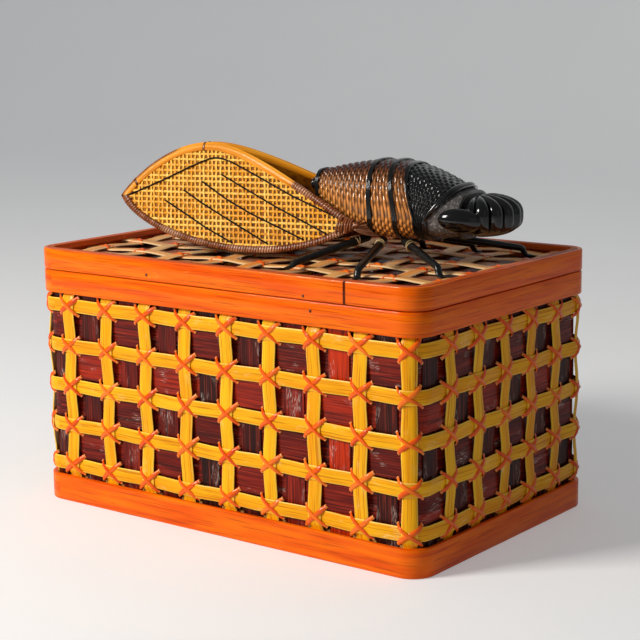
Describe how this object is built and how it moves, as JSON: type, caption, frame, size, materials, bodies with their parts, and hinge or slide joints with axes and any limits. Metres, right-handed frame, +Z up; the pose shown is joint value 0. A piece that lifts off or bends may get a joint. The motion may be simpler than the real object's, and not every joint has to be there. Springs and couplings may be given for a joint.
{
  "type": "insect cage",
  "caption": "Woven bamboo insect cage: a box with a lashed lattice wall, bent bands and a lift-off lid that carries a large woven cicada with netted wings.",
  "frame": {"origin": "centre of the box's plan, on the surface that it stands on", "axes": "+X along the long front face towards the cicada's head, +Y from the front to the back, +Z up"},
  "size_m": [0.2504, 0.1604, 0.1926],
  "materials": {
    "lacquered_band": "glossy orange lacquer on bamboo",
    "inner_hoop": "plain bamboo",
    "lattice_strip": "satin golden bamboo",
    "mat_stake": "stained bamboo splint",
    "mat_weaver": "stained bamboo splint",
    "lash_cane": "lacquered cane",
    "body_cane": "varnished woven cane",
    "black_cane": "black lacquered cane",
    "neck_plate": "matte black paint",
    "black_lacquer": "gloss black lacquer",
    "wing_frame": "varnished bamboo",
    "wing_net": "varnished split bamboo net",
    "wing_vein": "black thread",
    "tie_cane": "pale cane"
  },
  "bodies": {
    "box": {"base_band": "lacquered_band", "foot_hoop": "inner_hoop", "base_inner_hoop": "inner_hoop", "rim_band": "lacquered_band", "lid_collar": "inner_hoop", "floor_long": "mat_weaver", "floor_cross": "mat_stake", "lattice_hoop_1": "lattice_strip", "lattice_hoop_2": "lattice_strip", "lattice_hoop_3": "lattice_strip", "lattice_hoop_4": "lattice_strip", "lattice_hoop_5": "lattice_strip", "wall_weaver_1": "mat_weaver", "wall_weaver_2": "mat_weaver", "wall_weaver_3": "mat_weaver", "wall_weaver_4": "mat_weaver", "uprights_front": "lattice_strip", "uprights_right": "lattice_strip", "uprights_back": "lattice_strip", "uprights_left": "lattice_strip", "stakes_front": "mat_stake", "stakes_right": "mat_stake", "stakes_back": "mat_stake", "stakes_left": "mat_stake", "lashings_front": "lash_cane", "lashings_right": "lash_cane", "lashings_back": "lash_cane", "lashings_left": "lash_cane"},
    "lid": {"lid_band": "lacquered_band", "lid_ledge": "inner_hoop", "lid_hold_down": "lacquered_band", "lid_mat_long": "mat_weaver", "lid_mat_cross": "mat_stake", "lid_lattice_long": "lattice_strip", "lid_lattice_cross": "lattice_strip", "lid_lashings": "lash_cane", "abdomen": "body_cane", "abdomen_bands": "black_cane", "tail_knob": "black_cane", "thorax": "black_cane", "neck_plate": "neck_plate", "head": "black_lacquer", "eye_right": "black_lacquer", "eye_left": "black_lacquer", "rear_leg_right": "black_cane", "middle_leg_right": "black_cane", "front_leg_right": "black_cane", "rear_leg_left": "black_cane", "middle_leg_left": "black_cane", "front_leg_left": "black_cane", "leg_ties": "tie_cane", "wing_frame_right": "wing_frame", "wing_frame_left": "wing_frame", "wing_net_right": "wing_net", "wing_net_left": "wing_net", "wing_veins_right": "wing_vein", "wing_veins_left": "wing_vein", "wing_ties": "tie_cane"}
  },
  "joints": [
    {"name": "lid_lift", "type": "slide", "parent": "box", "child": "lid", "axis": [0, 0, 1], "range_m": [0, 0.12]}
  ]
}
